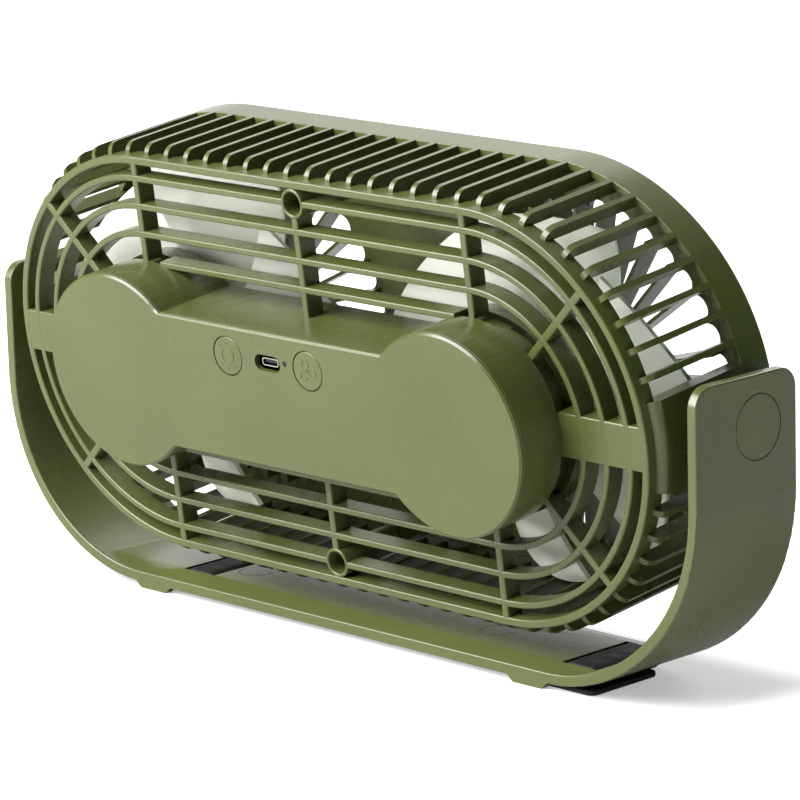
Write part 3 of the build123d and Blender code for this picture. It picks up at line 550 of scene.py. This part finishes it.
def webbing_tree():
    """Flat webbing folded along the path, with cords that rise and dive along it."""
    tree, given = new_tree("folded_webbing", {
        "Width": "NodeSocketFloat", "Thickness": "NodeSocketFloat", "Bend": "NodeSocketFloat",
        "Cord Pitch": "NodeSocketFloat", "Cord Height": "NodeSocketFloat", "Cord Float": "NodeSocketFloat",
    })
    folded = add(tree, "GeometryNodeFilletCurve", {
        "Curve": given["Path"], "Count": 8, "Radius": given["Bend"],
    }, mode="POLY")
    step = add(tree, "ShaderNodeMath", {0: given["Cord Float"], 1: steps_per_float}, operation="DIVIDE")
    even = add(tree, "GeometryNodeResampleCurve", {
        "Curve": folded.outputs["Curve"], "Length": step.outputs["Value"],
    }, mode="LENGTH")
    level = add(tree, "GeometryNodeSetCurveNormal", {"Curve": even.outputs["Curve"]}, mode="Z_UP")
    route = add(tree, "GeometryNodeStoreNamedAttribute", {
        "Geometry": level.outputs["Curve"], "Name": "along",
        "Value": add(tree, "GeometryNodeSplineParameter").outputs["Length"],
    }, data_type="FLOAT", domain="POINT")
    flat = add(tree, "GeometryNodeCurvePrimitiveQuadrilateral", {
        "Width": given["Thickness"], "Height": given["Width"],
    }, mode="RECTANGLE")
    selvedge = add(tree, "ShaderNodeMath", {
        0: given["Thickness"], 1: selvedge_share,
    }, operation="MULTIPLY")
    rounded = add(tree, "GeometryNodeFilletCurve", {
        "Curve": flat.outputs["Curve"], "Count": 3, "Radius": selvedge.outputs["Value"],
    }, mode="POLY")
    spacing = add(tree, "ShaderNodeMath", {0: given["Cord Pitch"], 1: steps_per_cord}, operation="DIVIDE")
    fine = add(tree, "GeometryNodeResampleCurve", {
        "Curve": rounded.outputs["Curve"], "Length": spacing.outputs["Value"],
    }, mode="LENGTH")
    position = add(tree, "GeometryNodeInputPosition").outputs["Position"]
    section = add(tree, "GeometryNodeStoreNamedAttribute", {
        "Geometry": fine.outputs["Curve"], "Name": "across",
        "Value": add(tree, "ShaderNodeSeparateXYZ", {"Vector": position}).outputs["Y"],
    }, data_type="FLOAT", domain="POINT")
    strap = add(tree, "GeometryNodeCurveToMesh", {
        "Curve": route.outputs["Geometry"], "Profile Curve": section.outputs["Geometry"],
        "Fill Caps": True,
    })
    along = add(tree, "GeometryNodeInputNamedAttribute", {"Name": "along"}, data_type="FLOAT")
    across = add(tree, "GeometryNodeInputNamedAttribute", {"Name": "across"}, data_type="FLOAT")
    cord = add(tree, "ShaderNodeMath", {
        0: across.outputs["Attribute"], 1: given["Cord Pitch"],
    }, operation="DIVIDE")
    ridge_angle = add(tree, "ShaderNodeMath", {0: cord.outputs["Value"], 1: pi}, operation="MULTIPLY")
    ridge_wave = add(tree, "ShaderNodeMath", {0: ridge_angle.outputs["Value"]}, operation="SINE")
    ridge = add(tree, "ShaderNodeMath", {0: ridge_wave.outputs["Value"]}, operation="ABSOLUTE")
    number = add(tree, "ShaderNodeMath", {0: cord.outputs["Value"]}, operation="FLOOR")
    turns = add(tree, "ShaderNodeMath", {
        0: along.outputs["Attribute"], 1: given["Cord Float"],
    }, operation="DIVIDE")
    half_step = add(tree, "ShaderNodeMath", {
        0: number.outputs["Value"], 1: 0.5, 2: turns.outputs["Value"],
    }, operation="MULTIPLY_ADD")
    float_angle = add(tree, "ShaderNodeMath", {
        0: half_step.outputs["Value"], 1: 2 * pi,
    }, operation="MULTIPLY")
    float_wave = add(tree, "ShaderNodeMath", {0: float_angle.outputs["Value"]}, operation="SINE")
    rise = add(tree, "ShaderNodeMath", {
        0: float_wave.outputs["Value"], 1: cord_swing, 2: cord_rise,
    }, operation="MULTIPLY_ADD")
    weave = add(tree, "ShaderNodeMath", {
        0: ridge.outputs["Value"], 1: rise.outputs["Value"],
    }, operation="MULTIPLY")
    height = add(tree, "ShaderNodeMath", {
        0: weave.outputs["Value"], 1: given["Cord Height"],
    }, operation="MULTIPLY")
    lift = add(tree, "ShaderNodeVectorMath", {
        0: add(tree, "GeometryNodeInputNormal").outputs["Normal"], "Scale": height.outputs["Value"],
    }, operation="SCALE")
    woven = add(tree, "GeometryNodeSetPosition", {
        "Geometry": strap.outputs["Mesh"], "Offset": lift.outputs["Vector"],
    })
    return finish_tree(tree, given, woven.outputs["Geometry"])


def grow(name, tree, paths, closed, sizes, place, node):
    """Grow a piece along its paths and keep it as a plain mesh in its place."""
    curve = bpy.data.curves.new(name + "_path", "CURVE")
    curve.dimensions = "3D"
    for points in paths:
        spline = curve.splines.new("POLY")
        spline.points.add(len(points) - 1)
        spline.use_cyclic_u = closed
        for knot, (x, y) in zip(spline.points, points):
            knot.co = (x, y, 0, 1)
    guide = bpy.data.objects.new(name + "_path", curve)
    scene.collection.objects.link(guide)
    growth = guide.modifiers.new("growth", "NODES")
    growth.node_group = tree
    values = {"Material": cad_finish[node], **sizes}
    for socket in tree.interface.items_tree:
        if socket.name in values:
            growth[socket.identifier] = values[socket.name]
    ready = guide.evaluated_get(bpy.context.evaluated_depsgraph_get())
    mesh = bpy.data.meshes.new_from_object(ready)
    bpy.data.objects.remove(guide)
    shape = bmesh.new()
    shape.from_mesh(mesh)
    bmesh.ops.remove_doubles(shape, verts=shape.verts, dist=weld_gap)
    bmesh.ops.recalc_face_normals(shape, faces=shape.faces)
    shape.to_mesh(mesh)
    shape.free()
    mesh.transform(place)
    smooth_faces(mesh)
    return new_piece(name, mesh, node)


def arc(x, radius, first, last):
    """Points of an arc, by angle from straight up towards +X."""
    count = max(2, round(abs(last - first) / arc_step) + 1)
    angles = [first + (last - first) * index / (count - 1) for index in range(count)]
    return [(x + radius * sin(angle), radius * cos(angle)) for angle in angles]


def at_depth(depth):
    """Place whose X-Y plane is square to the head's depth, with +Z forwards."""
    return head_place @ Matrix.Translation((0, rim_to_pivot - depth, 0)) @ Matrix.Rotation(pi / 2, 4, "X")


swept = swept_tree()
spread = spread_tree()
raised_line = line_tree()
webbing_folds = webbing_tree()


# ---- Rear grille and compartment ----
def stadium(radius):
    """Closed outline round both rotor axes."""
    return arc(-axle, radius, 2 * pi, pi) + arc(axle, radius, pi, 0)


def straight_bar(start, end, width):
    """Path of a straight bar, along its right-hand side."""
    start, end = Vector(start), Vector(end)
    way = (end - start).normalized()
    shift = Vector((way.y, -way.x)) * width / 2
    return [tuple(start + shift), tuple(end + shift)]


def half_rings(radius, gap):
    """Outline round both rotor axes, open over a gap at the middle of its top and bottom."""
    left = [(-gap, radius), *arc(-axle, radius, 2 * pi, pi), (-gap, -radius)]
    right = [(-x, -y) for x, y in left]
    return [left, right]


def grille_ring_paths():
    """Closed rings, and the open runs that end at the screw bosses or at the pods."""
    outer = rim_radius - first_ring_inset + ring_width / 2
    rings = [stadium(outer - index * ring_pitch) for index in (1, 2)]
    height = rim_radius - first_ring_inset - 3 * ring_pitch
    reach = axle - (pod_radius ** 2 - height ** 2) ** 0.5 + bar_overlap
    runs = [straight_bar((-reach, way * height), (reach, way * height), ring_width) for way in (-1, 1)]
    return rings, runs + half_rings(outer, boss_radius - bar_overlap)


def grille_rib_paths():
    """Upright ribs over and under the compartment, and the leaning ribs at both ends."""
    inner = pod_radius - bar_overlap
    outer = rim_radius - rim_width / 2
    ribs = []
    for way in (-1, 1):
        boss_end = boss_height - boss_radius + bar_overlap
        ribs.append(straight_bar((0, way * (bar_half - bar_overlap)), (0, way * boss_end), rib_width))
        for side in (-1, 1):
            x = side * axle
            lean = Vector((side, way)).normalized()
            ribs.append(straight_bar((x, way * inner), (x, way * outer), rib_width))
            start, end = lean * inner, lean * outer
            ribs.append(straight_bar((x + start.x, start.y), (x + end.x, end.y), rib_width))
    return ribs


def grille_bars():
    """All bars and screw bosses of the rear grille."""
    rings, runs = grille_ring_paths()
    arms = []
    for side in (-1, 1):
        inner = side * (axle + pod_radius - bar_overlap)
        outer = side * (axle + rim_radius - rim_width / 2)
        arms.append(straight_bar((inner, 0), (outer, 0), side_arm_height))
    bosses = []
    for way in (-1, 1):
        circle = arc(0, boss_radius, 2 * pi, arc_step)
        bosses.append([(x, y + way * boss_height) for x, y in circle])
    tube_depth = boss_depth - boss_floor
    kinds = (
        ("grille_rim", [stadium(rim_radius)], True, rim_width, 0, grille_depth),
        ("grille_rings", rings, True, ring_width, 0, grille_depth),
        ("grille_open_rings", runs, False, ring_width, 0, grille_depth),
        ("grille_ribs", grille_rib_paths(), False, rib_width, rib_inset, grille_depth),
        ("grille_side_arms", arms, False, side_arm_height, arm_inset, grille_depth),
        ("screw_bosses", bosses, True, boss_radius - boss_hole_radius, -boss_proud, tube_depth),
        ("screw_boss_floors", bosses, True, boss_radius - boss_screw_radius, tube_depth, boss_depth),
    )
    pieces = []
    for name, paths, closed, width, start, end in kinds:
        pieces.append(grow(name, swept, paths, closed, {
            "Width": width, "Depth": end - start, "Front Edge": fine_edge,
            "Rear Corner": bar_edge, "Rear Edge": bar_edge,
        }, at_depth((start + end) / 2), "rear_housing"))
    return pieces


def compartment_walls():
    """The housing's compartment without the grille round it, its wall closed where bars join it."""
    mesh, shape = merged_copy("rear_housing")
    to_head = head_place.inverted()
    outside = []
    for corner in shape.verts:
        place = to_head @ corner.co
        in_pod = Vector((abs(place.x) - axle, place.z)).length < pod_radius + wall_slack
        in_bar = abs(place.x) < axle and abs(place.z) < bar_half + wall_slack
        if not in_pod and not in_bar:
            outside.append(corner)
    bmesh.ops.delete(shape, geom=outside, context="VERTS")
    open_edges = [edge for edge in shape.edges if edge.is_boundary]
    bmesh.ops.holes_fill(shape, edges=open_edges, sides=0)
    shape.to_mesh(mesh)
    shape.free()
    smooth_faces(mesh, fillet_angle)
    return new_piece("compartment_walls", mesh, "rear_housing")


for piece in [*grille_bars(), compartment_walls()]:
    even_shading(piece)
    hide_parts("rear_housing")


# ---- Shell round the rear grille ----
def shell_band():
    """Smooth band round the front of the head, with rounded front edges."""
    return grow("shell_band", swept, [stadium(shell_radius)], True, {
        "Width": band_wall, "Depth": band_width, "Front Edge": band_edge,
        "Rear Corner": fine_edge, "Rear Edge": fine_edge,
    }, at_depth((band_start + head_depth) / 2), "side_shell")


def shell_slats():
    """Slats along the top and the bottom, between the side blocks."""
    top = arc(axle, shell_radius, slat_last, 0) + arc(-axle, shell_radius, 0, -slat_last)
    bottom = [(-x, -y) for x, y in top]
    return grow("shell_slats", spread, [top, bottom], False, {
        "Count": slats_per_half, "Thickness": slat_thickness, "Width": slat_height,
        "Depth": slat_front - slat_setback, "Front Edge": fine_edge,
        "Rear Corner": slat_corner, "Rear Edge": fine_edge,
    }, at_depth((slat_setback + slat_front) / 2), "side_shell")


def shell_side_blocks():
    """Solid blocks that carry the pivots."""
    right = arc(axle, shell_radius, pi / 2 + block_half_angle, pi / 2 - block_half_angle)
    left = [(-x, -y) for x, y in right]
    return grow("shell_side_blocks", swept, [right, left], False, {
        "Width": side_block_thickness, "Depth": side_block_front - slat_setback,
        "Front Edge": fine_edge, "Rear Corner": slat_corner, "Rear Edge": fine_edge,
    }, at_depth((slat_setback + side_block_front) / 2), "side_shell")


def pivot_boss(side, turn):
    """Round boss on a side block, bored for its pivot."""
    middle = pivot_face - pivot_boss_length / 2
    place = Matrix.Translation((turn * middle, 0, 0)) @ Matrix.Rotation(-turn * pi / 2, 4, "Y")
    return grow(side + "_pivot_boss", swept, [arc(0, pivot_boss_radius, 2 * pi, arc_step)], True, {
        "Width": pivot_boss_radius - pivot_boss_bore, "Depth": pivot_boss_length,
        "Front Edge": fine_edge, "Rear Corner": fine_edge, "Rear Edge": fine_edge,
    }, head_place @ place, "side_shell")


shell = [
    shell_band(), shell_slats(), shell_side_blocks(), pivot_boss("left", -1), pivot_boss("right", 1),
]
for piece in shell:
    even_shading(piece)
    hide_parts("side_shell")


# ---- Line between the cover and the compartment ----
def cover_seam():
    """Fine raised line that the mould leaves round the cover's edge."""
    turn = asin(bar_half / pod_radius)
    right_pod = arc(axle, pod_radius, -pi / 2 + turn, 3 * pi / 2 - turn)
    left_pod = [(-x, -y) for x, y in right_pod]
    grow("cover_seam", raised_line, [right_pod + left_pod], True, {"Radius": seam_line},
         at_depth(cover_face + cover_edge), "rear_cover")


cover_seam()


# ---- Signs on the buttons ----
def sun_sign():
    """Ring with short rays, on the light's button."""
    ring = arc(0, sun_radius, 0, 2 * pi)
    rays = []
    for index in range(sun_rays):
        turn = index * 2 * pi / sun_rays
        way = Vector((sin(turn), cos(turn)))
        rays.append([tuple(way * ray_start), tuple(way * ray_end)])
    return [ring, *rays]


def rotor_sign():
    """Rounded blades round a small ring, on the fan's button."""
    lines = [arc(0, rotor_hub, 0, 2 * pi)]
    for index in range(rotor_blades):
        turn = Matrix.Rotation(index * 2 * pi / rotor_blades, 2)
        blade = arc(blade_shift, blade_radius, -blade_half_angle, blade_half_angle)
        lines.append([tuple(turn @ Vector((x, y + blade_reach))) for x, y in blade])
    return lines


for node, x, lines in (
    ("light_button", light_button_x, sun_sign()), ("fan_button", fan_button_x, rotor_sign()),
):
    place = at_depth(cover_face) @ Matrix.Translation((x, controls_height, 0))
    grow(node + "_sign", raised_line, lines, False, {"Radius": icon_line}, place, node)


# ---- Carry strap ----
def carry_strap():
    """Webbing wrapped round a bar of the floor at each end and run under the stand."""
    low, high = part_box("carry_strap")
    bottom = low[2] + strap_thickness / 2
    top = high[2] - strap_thickness / 2
    right_end = high[0] - strap_thickness / 2
    left_end = low[0] + strap_thickness / 2
    reach = strap_loop - strap_thickness
    half_route = [
        (right_end - strap_tail, bottom), (right_end, bottom), (right_end, top),
        (right_end - reach, top), (right_end - reach, bottom),
    ]
    other_half = [(left_end + right_end - x, z) for x, z in reversed(half_route)]
    place = Matrix.Translation((0, (low[1] + high[1]) / 2, 0)) @ Matrix.Rotation(pi / 2, 4, "X")
    piece = grow("carry_strap_webbing", webbing_folds, [half_route + other_half], False, {
        "Width": high[1] - low[1], "Thickness": strap_thickness,
        "Bend": strap_bend - strap_thickness / 2, "Cord Pitch": cord_pitch,
        "Cord Height": cord_height, "Cord Float": cord_float,
    }, place, "carry_strap")
    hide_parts("carry_strap")


carry_strap()


# ---- Floor, light and camera ----
def floor_plane(name, height, white, near_glow, far_glow):
    """Large plain floor with a glow of its own, weaker under the fan and close round it, which paints a soft
    shadow there.
    """
    mesh = bpy.data.meshes.new(name)
    corners = [(-1, -1), (1, -1), (1, 1), (-1, 1)]
    mesh.from_pydata([(x * floor_reach, y * floor_reach, height) for x, y in corners], [], [(0, 1, 2, 3)])
    plane = bpy.data.objects.new(name, mesh)
    scene.collection.objects.link(plane)
    material, tree, shader = new_material(name + "_paper")
    shader.inputs["Base Color"].default_value = colour(white)
    shader.inputs["Roughness"].default_value = 0.9
    shader.inputs["Specular IOR Level"].default_value = 0.0
    shader.inputs["Emission Color"].default_value = colour("FFFFFF")
    place = add(tree, "ShaderNodeTexCoord").outputs["Object"]
    mirrored = add(tree, "ShaderNodeVectorMath", {0: place}, operation="ABSOLUTE")
    beyond = add(tree, "ShaderNodeVectorMath", {
        0: mirrored.outputs["Vector"], 1: (shade_half_width, shade_half_depth, 1.0),
    }, operation="SUBTRACT")
    outside = add(tree, "ShaderNodeVectorMath", {
        0: beyond.outputs["Vector"], 1: (0.0, 0.0, 0.0),
    }, operation="MAXIMUM")
    distance = add(tree, "ShaderNodeVectorMath", {0: outside.outputs["Vector"]}, operation="LENGTH")
    # Painted shadow: the glow drops to near_glow under the fan and close round it.
    glow = add(tree, "ShaderNodeMapRange", {
        "Value": distance.outputs["Value"], "From Min": 0.0, "From Max": shade_fade,
        "To Min": near_glow, "To Max": far_glow,
    }, interpolation_type="SMOOTHSTEP")
    tree.links.new(glow.outputs["Result"], shader.inputs["Emission Strength"])
    mesh.materials.append(material)
    return plane


def floor():
    """White paper that the view sees, over a darker one that throws light back at the fan."""
    seen = floor_plane("floor", height=0.0, white="CCCCCC", near_glow=0.4, far_glow=0.92)
    seen.visible_diffuse = False
    seen.visible_glossy = False
    seen.visible_shadow = False
    bounce = floor_plane(
        "bounce_floor", height=-bounce_drop, white="C4C4C4", near_glow=0.05, far_glow=0.1,
    )
    bounce.visible_camera = False


def area_light(name, place, size, power, tint="FFFFFF"):
    """Soft square light, aimed at the fan."""
    light = bpy.data.lights.new(name, "AREA")
    light.size = size
    light.energy = power
    light.color = colour(tint)[:3]
    lamp = bpy.data.objects.new(name, light)
    lamp.location = place
    aim = Vector((0, 0, aim_height)) - Vector(place)
    lamp.rotation_euler = aim.to_track_quat("-Z", "Y").to_euler()
    scene.collection.objects.link(lamp)
    return lamp


def studio():
    """White surroundings that only the view sees, and five soft lights."""
    world = bpy.data.worlds.new("studio")
    scene.world = world
    world.use_nodes = True
    tree = world.node_tree
    tree.nodes.clear()
    fill = add(tree, "ShaderNodeBackground", {"Color": colour("FFFFFF"), "Strength": 1.0})
    add(tree, "ShaderNodeOutputWorld", {"Surface": fill.outputs["Background"]})
    world.cycles_visibility.diffuse = False
    world.cycles_visibility.glossy = False
    area_light("key", (0.70, 1.25, 1.05), size=1.5, power=104)
    area_light("top", (0.1, -0.3, 1.5), size=1.0, power=3)
    area_light("front", (0.3, -1.6, 0.7), size=1.2, power=26)
    area_light("side", (-1.3, -0.1, 0.17), size=0.3, power=2.5, tint="E0FFEA")
    # The sheen shows only as a reflection.
    sheen = area_light("sheen", (1.5, -1.5, 0.9), size=2.0, power=18)
    sheen.visible_diffuse = False


def camera():
    """Camera behind and to the left of the fan."""
    flat = cos(camera_elevation)
    back = Vector((sin(camera_azimuth) * flat, -cos(camera_azimuth) * flat, sin(camera_elevation)))
    level = Vector((cos(camera_azimuth), sin(camera_azimuth), 0))
    upright = back.cross(level)
    right = cos(camera_roll) * level + sin(camera_roll) * upright
    up = cos(camera_roll) * upright - sin(camera_roll) * level
    data = bpy.data.cameras.new("camera")
    data.sensor_width = camera_sensor
    data.lens = camera_lens
    data.clip_end = camera_range
    view = bpy.data.objects.new("camera", data)
    turn = Matrix((right, up, back)).transposed().to_4x4()
    view.matrix_world = Matrix.Translation(camera_place) @ turn
    scene.collection.objects.link(view)
    scene.camera = view


floor()
studio()
camera()
scene.view_settings.view_transform = "Standard"
